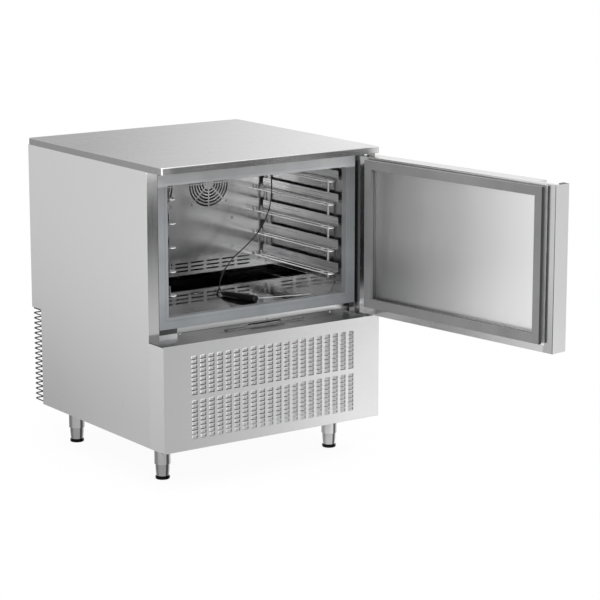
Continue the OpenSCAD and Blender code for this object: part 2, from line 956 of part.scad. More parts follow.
// Copper pipework with the filter drier in the liquid line
module pipework() {
  pr = 5;
  cx = condenser_x1;
  color("Peru") {
    tube_run([[-20, comp_y + 35, cz + 214], [-20, comp_y + 35, pipe_z + 15],
      [-120, comp_y + 35, pipe_z + 15], [-120, 60, pipe_z + 15], [-200, 60, pipe_z + 15],
      [-200, 60, panel_top - sheet]], pr);
    rod([-120, 160, pipe_z + 15], [-120, 80, pipe_z + 15], 16);
    tube_run([[comp_x, comp_y, cz + 181], [comp_x, comp_y, pipe_z],
      [comp_x, cond_y + 30, pipe_z], [cx, cond_y + 30, pipe_z]], pr + 2);
  }
}

module electrical_box() {
  color("Gray")
    difference() {
      union() {
        span([ebox_x, ebox_y, cz], [ebox_x + 122, ebox_y + 230, cz + 210]);
        span([ebox_x - 3, ebox_y - 3, cz + 196], [ebox_x + 125, ebox_y + 233, cz + 214]);
      }
      translate([ebox_x + 61, ebox_y + 220, gland_z])
        rotate([-90, 0, 0])
          cylinder(h = 20, r = 10);
      span([ebox_x + 4, ebox_y + 4, cz + 4], [ebox_x + 118, ebox_y + 221, cz + 190]);
    }
}

module mains_gland() {
  color("Black")
    translate([ebox_x + 61, ebox_y + 221, gland_z])
      rotate([-90, 0, 0])
        difference() {
          union() {
            cylinder(h = 30, r = 9.9);
            translate([0, 0, 9])
              cylinder(h = 12, r = 15, $fn = 6);
          }
          translate([0, 0, -1])
            cylinder(h = 40, r = 5.5);
        }
}

// Pan-head screws of the evaporator cover and the fascia
module panel_screws() {
  color("Silver") {
    for (s = [-1, 1], a = [-1, 1], b = [-1, 1])
      translate([s * fan_x + a * 66, y_cover, fan_z + b * 64])
        screw_head();
    for (s = [-1, 1], z = [ch_z0 + 105, ch_z0 + 198])
      translate([s * 195, y_cover, z])
        screw_head();
    for (x = [-stile_x + 72, stile_x - 94])
      translate([x, y_box - sheet, panel_top + 11])
        screw_head();
  }
}

// ---- Door ----

// Plan outline of the door; g shrinks the outline evenly, so that g = 0 is the outer skin
module door_plan(g) {
  xf = -door_x;
  gx = xf + lip_w;
  polygon([[door_x - g, door_y1 - g], [door_x - g, door_y0 + g],
    [gx + grip_w + g, door_y0 + g], [gx + grip_w - 6 + g, door_y0 + grip_d + g],
    [xf + sheet + g, door_y0 + grip_d + g], [xf + g, door_y0 + grip_d + g],
    [xf + g, door_y1 - g]]);
}

// Plan outline of the skin, with the end wall and the hollow lip in front of the channel
module skin_plan() {
  xf = -door_x;
  difference() {
    polygon([[door_x, door_y1], [door_x, door_y0], [xf + lip_w + grip_w, door_y0],
      [xf + lip_w + grip_w - 6, door_y0 + grip_d], [xf + sheet, door_y0 + grip_d],
      [xf + sheet, door_y0 + lip_t], [xf + lip_w, door_y0 + lip_t], [xf + lip_w, door_y0],
      [xf, door_y0], [xf, door_y1]]);
    translate([xf + sheet, door_y0 + sheet])
      square([lip_w - 2 * sheet, lip_t - 2 * sheet]);
  }
}

// The pressed dish of the inner panel, grown by g, as a solid
module dish_solid(g) {
  ix = seal_x - seal_w;
  iz0 = seal_z0 + seal_w;
  iz1 = seal_z1 - seal_w;
  intersection() {
    translate([0, 0, door_z0])
      linear_extrude(door_h)
        polygon([[-ix - g, door_y1 + e], [ix + g, door_y1 + e], [ix + g, door_y1],
          [ix - dish_in + g, door_y1 - dish - g], [-ix + dish_in - g, door_y1 - dish - g],
          [-ix - g, door_y1]]);
    translate([-door_x, 0, 0])
      rotate([90, 0, 90])
        linear_extrude(2 * door_x)
          polygon([[door_y1 + e, iz0 - g], [door_y1 + e, iz1 + g], [door_y1, iz1 + g],
            [door_y1 - dish - g, iz1 - dish_in + g], [door_y1 - dish - g, iz0 + dish_in - g],
            [door_y1, iz0 - g]]);
  }
}

module bush_holes(r) {
  translate([hinge_x, hinge_y, door_z0 - 1])
    cylinder(h = bush_h + 1, r = r);
  translate([hinge_x, hinge_y, door_z0 + door_h - bush_h])
    cylinder(h = bush_h + 1, r = r);
}

module button_wells(r, d) {
  for (x = btn_x)
    translate([ctl_x + x, door_y0 - 1, ctl_z])
      rotate([-90, 0, 0])
        cylinder(h = d + 1, r = r);
}

// Outer skin: folded pan with its inner margin, end caps and the lip of the finger channel
module door_skin() {
  color("LightGray")
    door_pose()
      difference() {
        translate([0, 0, door_z0])
          linear_extrude(door_h)
            skin_plan();
        translate([0, 0, door_z0 + sheet])
          linear_extrude(door_h - 2 * sheet)
            door_plan(sheet);
        span([-seal_x - 5, door_y1 - sheet - 1, seal_z0 - 5],
          [seal_x + 5, door_y1 + 1, seal_z1 + 5]);
        bush_holes(bush_r);
        button_wells(btn_r + 1.5, sheet + 1);
      }
}

// Pressed inner panel
module door_panel() {
  color("Silver")
    door_pose()
      difference() {
        union() {
          span([-seal_x - 5, door_y1 - sheet, seal_z0 - 5], [seal_x + 5, door_y1, seal_z1 + 5]);
          dish_solid(sheet);
        }
        dish_solid(0);
        span([-seal_x - 9, door_y1, seal_z0 - 9], [seal_x + 9, door_y1 + 9, seal_z1 + 9]);
      }
}

module door_foam() {
  color("Khaki")
    door_pose()
      difference() {
        translate([0, 0, door_z0 + sheet])
          linear_extrude(door_h - 2 * sheet)
            door_plan(sheet);
        dish_solid(sheet);
        bush_holes(bush_r);
        button_wells(btn_r + 1.5, 9);
      }
}

// Gasket: a magnetic face on a narrower bellows foot
module door_gasket() {
  color("SlateGray")
    door_pose() {
      difference() {
        span([-seal_x + 5, door_y1, seal_z0 + 5], [seal_x - 5, door_y1 + 10 + e, seal_z1 - 5]);
        span([-seal_x + 23, door_y1 - 1, seal_z0 + 23], [seal_x - 23, door_y1 + 19, seal_z1 - 23]);
      }
      difference() {
        span([-seal_x, door_y1 + 8, seal_z0], [seal_x, door_y1 + 18.5, seal_z1]);
        span([-seal_x + seal_w, door_y1, seal_z0 + seal_w],
          [seal_x - seal_w, door_y1 + 29, seal_z1 - seal_w]);
      }
    }
}

// Bushes that turn on the hinge pins
module door_bushes() {
  color("Gainsboro")
    door_pose()
      difference() {
        union() {
          translate([hinge_x, hinge_y, panel_top + plate_t + 0.3])
            cylinder(h = door_z0 - panel_top - plate_t - 0.3, r = pin_r + 6);
          translate([hinge_x, hinge_y, door_z0 - e])
            cylinder(h = bush_h + e, r = bush_r);
          translate([hinge_x, hinge_y, door_z0 + door_h])
            cylinder(h = z_top - plate_t - 0.3 - door_z0 - door_h, r = pin_r + 6);
          translate([hinge_x, hinge_y, door_z0 + door_h - bush_h])
            cylinder(h = bush_h + e, r = bush_r);
        }
        translate([hinge_x, hinge_y, panel_top])
          cylinder(h = 26, r = pin_r + 0.05);
        translate([hinge_x, hinge_y, z_top - 26])
          cylinder(h = 26, r = pin_r + 0.05);
      }
}

module control_bezel() {
  color("Black")
    door_pose()
      difference() {
        translate([ctl_x, door_y0, ctl_z])
          rotate([90, 0, 0])
            linear_extrude(ctl_t)
              rrect(ctl_w, ctl_h, 8);
        for (x = btn_x)
          translate([ctl_x + x, door_y0 + 1, ctl_z])
            rotate([90, 0, 0])
              cylinder(h = 9, r = btn_r + 0.1);
        span([ctl_x - 66, door_y0 - ctl_t - 1, ctl_z - 17],
          [ctl_x + 30, door_y0 - ctl_t + 1.6, ctl_z + 17]);
      }
}

module display_window() {
  color("DarkSlateGray")
    door_pose()
      span([ctl_x - 66, door_y0 - ctl_t + 0.4, ctl_z - 17],
        [ctl_x + 30, door_y0 - ctl_t + 1.6, ctl_z + 17]);
}

// Push button: a cap in the bezel with a wider collar behind it
module button(i) {
  color("Gainsboro")
    door_pose()
      translate([ctl_x + btn_x[i], door_y0, ctl_z])
        rotate([90, 0, 0]) {
          cylinder(h = ctl_t + 2, r = btn_r);
          translate([0, 0, -2])
            cylinder(h = 2, r = btn_r + 1);
        }
}

module button_power() {
  button(0);
}

module button_start() {
  button(1);
}

module button_up() {
  button(2);
}

module button_down() {
  button(3);
}

worktop();
worktop_core();
side_panel_left();
side_panel_right();
back_panel();
front_rail();
cabinet_foam();
chamber_liner();
floor_pan();
breaker_frame();
box_underside();
box_spacers();
machine_shelf();
base_tray();
lower_front_panel();
fascia_strip();
hinge_bracket_bottom();
hinge_bracket_top();
leg_sleeves();
foot_front_left();
foot_front_right();
foot_rear_left();
foot_rear_right();
rear_guard();
evaporator_cover();
evaporator_coil();
evaporator_motors();
evaporator_fan_left();
evaporator_fan_right();
drain_fitting();
drip_tray();
rack_frames();
tray_runners_left();
tray_runners_right();
probe_gland();
probe_cable();
probe_handle();
probe_needle();
compressor();
compressor_mounts();
condenser_coil();
condenser_shroud();
condenser_motor();
condenser_fan();
liquid_receiver();
pipework();
electrical_box();
mains_gland();
panel_screws();
door_skin();
door_panel();
door_foam();
door_gasket();
door_bushes();
control_bezel();
display_window();
button_power();
button_start();
button_up();
button_down();
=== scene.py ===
import math

import bmesh
import bpy
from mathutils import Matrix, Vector


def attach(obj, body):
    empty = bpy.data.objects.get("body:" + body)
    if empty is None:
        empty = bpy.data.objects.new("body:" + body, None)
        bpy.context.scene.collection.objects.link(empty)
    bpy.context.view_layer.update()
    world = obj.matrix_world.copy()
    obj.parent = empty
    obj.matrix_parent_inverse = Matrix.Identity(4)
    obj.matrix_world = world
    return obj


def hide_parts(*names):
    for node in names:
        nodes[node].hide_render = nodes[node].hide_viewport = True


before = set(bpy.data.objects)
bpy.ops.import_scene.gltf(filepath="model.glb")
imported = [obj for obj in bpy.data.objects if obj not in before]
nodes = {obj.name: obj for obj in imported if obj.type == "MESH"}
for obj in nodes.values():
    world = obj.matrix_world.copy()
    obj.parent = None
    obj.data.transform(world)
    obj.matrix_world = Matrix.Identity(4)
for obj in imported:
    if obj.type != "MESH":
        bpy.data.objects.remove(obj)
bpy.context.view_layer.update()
scene = bpy.context.scene

WHITE = (1, 1, 1, 1)


def add(name, data):
    """A new object of the scene with the data."""
    ob = bpy.data.objects.new(name, data)
    scene.collection.objects.link(ob)
    return ob


def mesh_object(bm, name):
    """The mesh as an object of the scene."""
    me = bpy.data.meshes.new(name)
    bm.to_mesh(me)
    bm.free()
    return add(name, me)


def aim(ob, direction, axis="-Z"):
    """Turns the object's axis into the direction."""
    ob.rotation_mode = "QUATERNION"
    ob.rotation_quaternion = Vector(direction).to_track_quat(axis, "Y")


# ---- Camera: the photograph's viewing angle ----

YAW, PITCH = math.radians(35.25), math.radians(11.95)

cam_data = bpy.data.cameras.new("camera")
cam_data.lens = 138.0
cam_data.sensor_width = 36.0
cam_data.clip_end = 200.0
cam = add("camera", cam_data)
cam.location = (-3.891, -6.041, 1.996)
level_part = math.cos(PITCH)
aim(cam, (math.sin(YAW) * level_part, math.cos(YAW) * level_part, -math.sin(PITCH)))
scene.camera = cam


# ---- Shader building blocks ----


class Nodes:
    """Short calls for the usual nodes of one node tree."""

    def __init__(self, tree):
        self.t = tree
        tree.nodes.clear()

    def link(self, a, b):
        self.t.links.new(a, b)

    def node(self, kind, inputs=None, **props):
        n = self.t.nodes.new(kind)
        for k, v in props.items():
            setattr(n, k, v)
        for k, v in (inputs or {}).items():
            if hasattr(v, "is_output"):
                self.link(v, n.inputs[k])
            else:
                n.inputs[k].default_value = v
        return n

    def span(self, value, a, b, lo=0.0, hi=1.0):
        """Goes from lo where the value is a to hi where it is b."""
        ends = {"Value": value, "From Min": a, "From Max": b, "To Min": lo, "To Max": hi}
        return self.node("ShaderNodeMapRange", ends).outputs[0]

    def math(self, op, a, b=0.0):
        return self.node("ShaderNodeMath", {0: a, 1: b}, operation=op).outputs[0]

    def total(self, first, *others):
        for other in others:
            first = self.math("ADD", first, other)
        return first

    def both(self, first, *others):
        """The product: 1 where all the masks are 1."""
        for other in others:
            first = self.math("MULTIPLY", first, other)
        return first

    def inverse(self, mask):
        return self.math("SUBTRACT", 1.0, mask)

    def dim(self, level, mask, factor):
        """The number times the factor where the mask is 1."""
        return self.both(level, self.span(mask, 0.0, 1.0, 1.0, factor))

    def blend(self, fac, a, b):
        """A number between a and b."""
        return self.node("ShaderNodeMix", {0: fac, 2: a, 3: b}, data_type="FLOAT").outputs[0]

    def mix(self, fac, a, b, blend="MIX"):
        """A colour between a and b."""
        ends = {0: fac, 6: a, 7: b}
        return self.node("ShaderNodeMix", ends, data_type="RGBA", blend_type=blend).outputs[2]


class Mat(Nodes):
    """A material with a Principled shader, patterned by the piece's own coordinates."""

    def __init__(self, name, **values):
        self.m = bpy.data.materials.new(name)
        self.m.use_nodes = True
        super().__init__(self.m.node_tree)
        self.out = self.node("ShaderNodeOutputMaterial")
        self.p = self.node("ShaderNodeBsdfPrincipled")
        self.link(self.p.outputs[0], self.out.inputs[0])
        for k, v in values.items():
            self.p.inputs[k.replace("_", " ")].default_value = v
        self.co = self.node("ShaderNodeTexCoord").outputs["Object"]

    def noise(self, scale, detail=3.0, rough=0.55, offset=(0, 0, 0)):
        place = {"Vector": self.co, "Scale": scale, "Location": offset}
        v = self.node("ShaderNodeMapping", place).outputs[0]
        kind = {"Vector": v, "Scale": 1.0, "Detail": detail, "Roughness": rough}
        return self.node("ShaderNodeTexNoise", kind).outputs["Fac"]

    def bump(self, height, strength, distance, normal):
        ins = {"Height": height, "Strength": strength, "Distance": distance, "Normal": normal}
        return self.node("ShaderNodeBump", ins).outputs[0]

    def edge(self, radius):
        """0 on flats, towards 1 at edges, and the rounded normal."""
        bev = self.node("ShaderNodeBevel", {"Radius": radius}, samples=4).outputs[0]
        geo = self.node("ShaderNodeNewGeometry").outputs["Normal"]
        dot = self.node("ShaderNodeVectorMath", {0: bev, 1: geo}, operation="DOT_PRODUCT")
        return self.span(dot.outputs["Value"], 1.0, 0.85), bev

    def place(self, axis):
        """Where the point is along the axis (0, 1 or 2), in metres."""
        return self.node("ShaderNodeSeparateXYZ", {0: self.co}).outputs[axis]

    def heading(self, axis):
        """How much the face looks along the axis, from -1 to 1."""
        n = self.node("ShaderNodeTexCoord").outputs["Normal"]
        return self.node("ShaderNodeSeparateXYZ", {0: n}).outputs[axis]

    def at(self, axis, lo, hi):
        """Rises from 0 at lo to 1 at hi along the axis."""
        return self.span(self.place(axis), lo, hi)

    def looks(self, axis, lo, hi):
        """Rises from 0 to 1 as the face's heading goes from lo to hi."""
        return self.span(self.heading(axis), lo, hi)

    def facing(self, axis, lo=0.5, hi=0.9):
        """1 on faces that look along the axis, either way."""
        return self.span(self.math("ABSOLUTE", self.heading(axis)), lo, hi)

    def to_front(self):
        return self.looks(1, -0.5, -0.9)

    def to_top(self):
        return self.looks(2, 0.9, 0.99)

    def tone(self, c, mask, factor):
        """The colour times the factor where the mask is 1."""
        return self.mix(mask, c, grey(factor), "MULTIPLY")

    def surface(self, colour, rough, normal):
        """Links what changes over the surface, and gives the material."""
        self.link(colour, self.p.inputs["Base Color"])
        self.link(rough, self.p.inputs["Roughness"])
        self.link(normal, self.p.inputs["Normal"])
        return self.m


def grey(v, bluer=0.0):
    return (v, v, v + bluer, 1.0)


def scaled(colour, factor, lift=0.0):
    return tuple(min(1.0, factor * v + lift) for v in colour) + (1.0,)


# Of all brushed steel: how far the grain's tone swings, and how dark the handling marks are
STREAK, SMUDGE = 0.010, 0.03
SOFT_EDGE = 0.0008


def brushed(
    name, tone, rough, grain, edge=0.0012, smear=0.0, bump=0.08, front=None, sides=1.0,
    fronts=1.0, edge_wear_and_light=0.35, rim=None, metal=1.0, shade=None,
):
    """Brushed stainless steel.

    grain is the scale of the grain noise per metre along x, y and z; smear spreads the
    reflections sideways, front is the roughness of the faces that look along y, sides and
    fronts dim those that look along x and y as painted shade, edge_wear_and_light is how
    much of the edges' tone shows and rim is that tone, which is a painted highlight on most
    pieces and painted dark outlines of shade on the tray and the tubes, with some real edge
    wear in it, and shade is a function that paints light and shade into the colour in places.
    """
    m = Mat(name, Metallic=metal, Anisotropic=smear)
    if smear:
        tangent = m.node("ShaderNodeTangent", direction_type="RADIAL", axis="Z")
        m.link(tangent.outputs[0], m.p.inputs["Tangent"])
    fine = m.noise(grain, 4.0, 0.6)
    coarse = m.noise(tuple(0.3 * g for g in grain), 3.0, 0.5, (3.1, 1.7, 0.4))
    cloud = m.noise((4.0, 4.0, 3.0), 3.0, 0.5, (0.3, 5.2, 1.1))
    spots = m.noise((38.0, 38.0, 30.0), 2.0, 0.5, (7.7, 0.2, 3.3))
    at_edge, normal = m.edge(edge)

    c = m.mix(m.span(fine, 0.3, 0.7), grey(tone - STREAK), grey(tone + STREAK))
    c = m.mix(m.span(coarse, 0.3, 0.7, 0.0, 0.5), c, grey(tone - 0.5 * STREAK, 0.004))
    c = m.mix(m.span(cloud, 0.35, 0.75, 0.0, 3 * SMUDGE), c, grey(tone - SMUDGE, 0.003))
    # Painted light and shade along the edges, with some real edge wear in it
    c = m.mix(m.both(at_edge, edge_wear_and_light), c, grey(rim or min(0.86, tone + 0.14)))
    # Painted shade: the faces that look along x or along y are dimmed
    for axis, dimmed in ((0, sides), (1, fronts)):
        if dimmed < 1.0:
            c = m.mix(m.facing(axis), c, grey(tone * dimmed))
    if shade:
        c = shade(m, c)

    r = m.span(fine, 0.3, 0.7, rough - 0.035, rough + 0.045)
    r = m.total(r, m.span(cloud, 0.35, 0.7, -0.02, 0.03), m.span(spots, 0.6, 0.8, 0.0, 0.03))
    if front is not None:
        r = m.total(r, m.both(m.facing(1), front - rough))
    grooves = m.bump(coarse, 0.5 * bump, 0.0003, normal)
    return m.surface(c, r, m.bump(fine, bump, 0.0002, grooves))


def plastic(name, colour, rough, speck=900.0, bump=0.08, shade=None, **values):
    """Moulded plastic or rubber with a fine grain; values go to the shader's sockets."""
    m = Mat(name, **values)
    fine = m.noise((speck,) * 3, 3.0, 0.6)
    cloud = m.noise((9.0,) * 3, 3.0, 0.5, (1.3, 2.2, 0.1))
    at_edge, normal = m.edge(SOFT_EDGE)
    dark = scaled(colour, 0.86)
    c = m.mix(m.span(cloud, 0.3, 0.7), dark, scaled(colour, 1.08, 0.004))
    c = m.mix(m.span(fine, 0.35, 0.7, 0.0, 0.3), c, dark)
    c = m.mix(m.both(at_edge, 0.25), c, scaled(colour, 1.3, 0.03))
    if shade:
        c = shade(m, c)
    r = m.span(fine, 0.3, 0.7, rough - 0.05, rough + 0.06)
    r = m.total(r, m.span(cloud, 0.3, 0.7, -0.03, 0.03))
    return m.surface(c, r, m.bump(fine, bump, 0.0002, normal))


def painted(name, colour, rough, metal=0.0, orange=260.0, shade=None):
    """Sprayed or zinc-coated metal with a faint orange-peel surface."""
    m = Mat(name, Metallic=metal)
    peel = m.noise((orange,) * 3, 2.0, 0.5)
    cloud = m.noise((14.0,) * 3, 4.0, 0.6, (2.0, 0.7, 0.9))
    at_edge, normal = m.edge(SOFT_EDGE)
    c = m.mix(m.span(cloud, 0.3, 0.7), scaled(colour, 0.8), scaled(colour, 1.12, 0.004))
    c = m.mix(m.both(at_edge, 0.4), c, scaled(colour, 1.2, 0.05))
    if shade:
        c = shade(m, c)
    r = m.span(peel, 0.3, 0.7, rough - 0.04, rough + 0.04)
    r = m.total(r, m.span(cloud, 0.3, 0.7, -0.04, 0.05))
    return m.surface(c, r, m.bump(peel, 0.05, 0.0004, normal))


# ---- Painted light and shade: where a piece is brighter or darker than its own tone ----
# Places are in metres along x, y and z; each factor multiplies the tone; all of it is painted light
# and shade but the foot's black base


def shade_worktop(m, c):
    """Painted highlights make the front edge brighter near its corners."""
    left = m.both(m.facing(1), m.at(0, -0.355, -0.375), m.at(0, -0.3985, -0.3965))
    right = m.both(m.facing(1), m.at(0, 0.35, 0.38))
    c = m.tone(c, left, 1.6)
    return m.tone(c, right, 2.2)


def shade_stiles(m, c):
    """A painted bright reflection on the left stile under the worktop; the right one is painted
    dark as the door's shadow.
    """
    patch = m.both(m.to_front(), m.at(2, 0.93, 0.96), m.at(0, 0.0, -0.3))
    shadow = m.both(m.to_front(), m.at(0, 0.362, 0.366), m.at(2, 0.47, 0.48))
    c = m.tone(c, patch, 1.5)
    return m.tone(c, shadow, 0.10)


def shade_door(m, c):
    """Painted shade near the hinge, on the rim round the seal, along the free edge's fold, on top
    and at the free end; painted light on the rim next to the hinge.
    """
    rim = m.looks(0, -0.90, -0.97)
    hinge_shade = m.both(m.facing(1), m.at(1, -0.50, -0.42))
    fold = m.both(rim, m.at(1, -1.1512, -1.1518))
    free_margin = m.both(rim, m.at(1, -1.115, -1.120))
    free_end = m.both(m.looks(1, -0.90, -0.97), m.at(1, -0.9, -1.1))
    c = m.tone(c, hinge_shade, 0.42)
    c = m.tone(c, m.both(rim, m.at(1, -1.12, -0.70)), 0.62)
    c = m.tone(c, m.both(rim, m.at(1, -0.44, -0.42)), 1.9)
    c = m.tone(c, fold, 0.3)
    c = m.tone(c, free_margin, 0.72)
    c = m.tone(c, m.to_top(), 0.84)
    return m.tone(c, free_end, 0.80)


def shade_dish(m, c):
    """Painted shade on the pressing's slopes, in its lower corner and towards the hinge; painted
    light towards the free side.
    """
    flat_part = m.facing(0, 0.93, 0.985)
    low_corner = m.both(m.at(2, 0.72, 0.52), m.at(1, -0.95, -0.45))
    c = m.tone(c, m.inverse(flat_part), 0.42)
    c = m.tone(c, low_corner, 0.55)
    c = m.tone(c, m.at(1, -0.85, -0.42), 0.78)
    return m.tone(c, m.both(flat_part, m.at(1, -0.75, -1.1)), 1.3)


def shade_frame(m, c):
    """The frame's upper bar catches more light, most of all on the right."""
    upper = m.at(2, 0.912, 0.918)
    c = m.tone(c, upper, 1.9)
    return m.tone(c, m.both(upper, m.at(0, -0.1, 0.33)), 1.7)


def shade_fascia(m, c):
    """Folded strip: a painted dark line of shade along its crease, and painted shade on the part
    under it.
    """
    crease = m.both(m.to_front(), m.at(2, 0.467, 0.4662), m.at(2, 0.4640, 0.4648))
    under = m.both(m.to_front(), m.at(2, 0.466, 0.463))
    c = m.tone(c, crease, 0.35)
    return m.tone(c, under, 0.72)


def shade_cover(m, c):
    """Painted light towards the right and painted shade towards the left; the cut edges of its
    slots and rings are painted dark as shade.
    """
    c = m.tone(c, m.at(0, -0.05, 0.28), 1.5)
    c = m.tone(c, m.at(0, -0.02, -0.24), 0.34)
    return m.tone(c, m.inverse(m.facing(1, 0.6, 0.9)), 0.08)


def shade_louvres(m, c):
    """Painted shade on the domes' right flanks and painted light on their left ones; painted shade
    on the top flange, most of all towards its left end.
    """
    right_flanks = m.both(m.looks(0, 0.05, 0.3), m.at(0, 0.35, 0.34))
    left_flanks = m.both(m.looks(0, -0.1, -0.5), m.looks(0, -0.99, -0.97))
    c = m.tone(c, right_flanks, 0.12)
    c = m.tone(c, m.to_top(), 0.75)
    c = m.tone(c, m.both(m.to_top(), m.at(0, -0.22, -0.34)), 0.5)
    return m.tone(c, left_flanks, 1.12)


def shade_zinc(m, c):
    """The shelf's front edge beside the fascia: painted shadow above, painted light below."""
    edge = m.both(m.to_front(), m.at(2, 0.440, 0.449))
    c = m.tone(c, m.both(edge, m.at(2, 0.465, 0.467)), 0.22)
    return m.tone(c, m.both(edge, m.at(2, 0.467, 0.465)), 1.6)


def shade_leg(m, c):
    """Polished tube: painted reflections of the room's dark parts as upright bands."""
    middle = m.both(m.looks(0, -0.12, 0.0), m.looks(0, 0.42, 0.3))
    c = m.tone(c, middle, 0.18)
    return m.tone(c, m.looks(0, -0.86, -0.97), 0.55)


def shade_foot(m, c):
    """A steel screw on a black base, with the leg's painted reflection bands."""
    return m.tone(shade_leg(m, c), m.at(2, 0.0112, 0.0106), 0.03)


def shade_gasket(m, c):
    """Painted shade on the door's free side, and a painted shadow on its outer lip."""
    free_side = m.both(m.to_front(), m.at(1, -1.09, -1.10))
    c = m.tone(c, free_side, 0.80)
    return m.tone(c, m.at(1, -1.1182, -1.1190), 0.25)


# ---- Materials ----

# The grain's scale per metre along x, y and z: low along the direction of brushing
UP = (620.0, 620.0, 5.0)
ALONG_X = (5.0, 620.0, 620.0)
ALONG_Y = (620.0, 5.0, 620.0)
EVEN = (900.0, 900.0, 900.0)

# Legs and feet: their edges are painted darker, as shade
TUBE = {"edge": SOFT_EDGE, "edge_wear_and_light": 0.8, "rim": 0.1}

M = {
    "side": brushed("steel_side", 0.60, 0.32, UP, front=0.13, smear=0.6, shade=shade_stiles),
    "panel": brushed("steel_panel", 0.61, 0.30, ALONG_X, shade=shade_louvres),
    # The worktop's side and front faces are dimmed as painted shade, and its edges carry only a
    # faint painted highlight
    "top": brushed(
        "steel_top", 0.60, 0.26, ALONG_X, edge=0.0004, sides=0.46, fronts=0.55, edge_wear_and_light=0.1,
        shade=shade_worktop,
    ),
    "door": brushed("steel_door", 0.66, 0.20, UP, edge_wear_and_light=0.1, shade=shade_door),
    "dish": brushed("steel_dish", 0.66, 0.38, UP, smear=0.8, shade=shade_dish),
    # The tray's edges are painted dark: outlines of shade round its lip and tab
    "tray": brushed("steel_tray", 0.50, 0.18, ALONG_X, edge_wear_and_light=0.9, rim=0.05),
    "fascia": brushed("steel_fascia", 0.54, 0.18, ALONG_X, shade=shade_fascia),
    "liner": brushed("steel_liner", 0.29, 0.22, UP, smear=0.6),
    "cover": brushed("steel_cover", 0.56, 0.19, UP, smear=0.5, shade=shade_cover),
    "floor": brushed("steel_floor", 0.34, 0.05, ALONG_Y, bump=0.02),
    "rack": brushed("steel_rack", 0.42, 0.28, ALONG_Y, edge=0.0006, metal=0.7),
    "wire": brushed("steel_wire", 0.86, 0.18, ALONG_Y, edge=0.0006, metal=0.55),
    # The bracket's edges are painted light: a highlight line
    "bracket": brushed("steel_bracket", 0.20, 0.24, ALONG_X, edge=0.0006, edge_wear_and_light=0.8, rim=0.6),
    "screw": brushed("steel_screw", 0.40, 0.20, EVEN, edge=0.0005),
    "needle": brushed("steel_needle", 0.86, 0.12, ALONG_X, edge=0.0003, metal=0.6),
    "leg": brushed("steel_leg", 0.50, 0.10, UP, shade=shade_leg, **TUBE),
    "foot": brushed("steel_foot", 0.38, 0.10, UP, shade=shade_foot, **TUBE),
    "zinc": painted(
        "zinc_sheet", (0.43, 0.44, 0.45), 0.42, metal=0.9, orange=60.0, shade=shade_zinc
    ),
    "black_paint": painted("black_paint", (0.018, 0.018, 0.020), 0.38),
    "guard": painted("guard_coating", (0.012, 0.012, 0.013), 0.34),
    "motor": painted("motor_paint", (0.03, 0.03, 0.032), 0.45),
    "fins": painted("fin_aluminium", (0.12, 0.122, 0.125), 0.36, metal=1.0, orange=500.0),
    "copper": painted("copper_tube", (0.62, 0.30, 0.17), 0.28, metal=1.0, orange=90.0),
    "pvc": plastic("frame_pvc", (0.235, 0.247, 0.258), 0.42, bump=0.05, shade=shade_frame),
    "gasket": plastic(
        "gasket_rubber", (0.185, 0.185, 0.188), 0.55, bump=0.1, shade=shade_gasket
    ),
    "black": plastic("black_plastic", (0.009, 0.009, 0.010), 0.36),
    "grip": plastic("grip_plastic", (0.0035, 0.0035, 0.0038), 0.46),
    "ink": plastic("printed_ink", (0.020, 0.020, 0.022), 0.5, speck=2500.0),
    "lit": plastic(
        "lit_segment", (0.80, 0.10, 0.04), 0.3, speck=2500.0,
        Emission_Color=(1, 0.1, 0.03, 1), Emission_Strength=0.9,
    ),
    "fan": plastic("fan_plastic", (0.010, 0.010, 0.011), 0.50),
    "cable": plastic("cable_jacket", (0.010, 0.010, 0.011), 0.38, speck=1500.0),
    "mount": plastic("mount_rubber", (0.02, 0.02, 0.02), 0.75),
    "bush": plastic("bush_plastic", (0.62, 0.63, 0.63), 0.45),
    "button": plastic("button_plastic", (0.52, 0.53, 0.54), 0.38),
    "window": plastic(
        "window_plastic", (0.006, 0.007, 0.008), 0.12, bump=0.01, Coat_Weight=0.6
    ),
    "foam": plastic("foam", (0.72, 0.63, 0.40), 0.9, speck=380.0, bump=0.4),
    "board": plastic("core_board", (0.45, 0.33, 0.20), 0.8, speck=240.0, bump=0.3),
}

LOOK = {
    "top": ["worktop"],
    "board": ["worktop_core"],
    "side": ["side_panel_left", "side_panel_right", "back_panel"],
    "fascia": ["front_rail", "fascia_strip"],
    "foam": ["cabinet_foam", "door_foam"],
    "liner": ["chamber_liner"],
    "floor": ["floor_pan"],
    "pvc": ["breaker_frame"],
    "zinc": [
        "box_underside", "box_spacers", "machine_shelf", "base_tray", "condenser_shroud",
        "electrical_box",
    ],
    "panel": ["lower_front_panel"],
    "bracket": ["hinge_bracket_bottom", "hinge_bracket_top"],
    "leg": ["leg_sleeves"],
    "foot": ["foot_front_left", "foot_front_right", "foot_rear_left", "foot_rear_right"],
    "guard": ["rear_guard"],
    "cover": ["evaporator_cover"],
    "fins": ["evaporator_coil", "condenser_coil"],
    "motor": ["evaporator_motors", "condenser_motor"],
    "fan": ["evaporator_fan_left", "evaporator_fan_right", "condenser_fan"],
    "screw": ["drain_fitting", "panel_screws"],
    "tray": ["drip_tray"],
    "rack": ["rack_frames"],
    "wire": ["tray_runners_left", "tray_runners_right"],
    "black": ["probe_gland", "mains_gland", "control_bezel"],
    "cable": ["probe_cable"],
    "grip": ["probe_handle"],
    "needle": ["probe_needle"],
    "black_paint": ["compressor", "liquid_receiver"],
    "mount": ["compressor_mounts"],
    "copper": ["pipework"],
    "door": ["door_skin"],
    "dish": ["door_panel"],
    "gasket": ["door_gasket"],
    "bush": ["door_bushes"],
    "window": ["display_window"],
    "button": ["button_power", "button_start", "button_up", "button_down"],
}
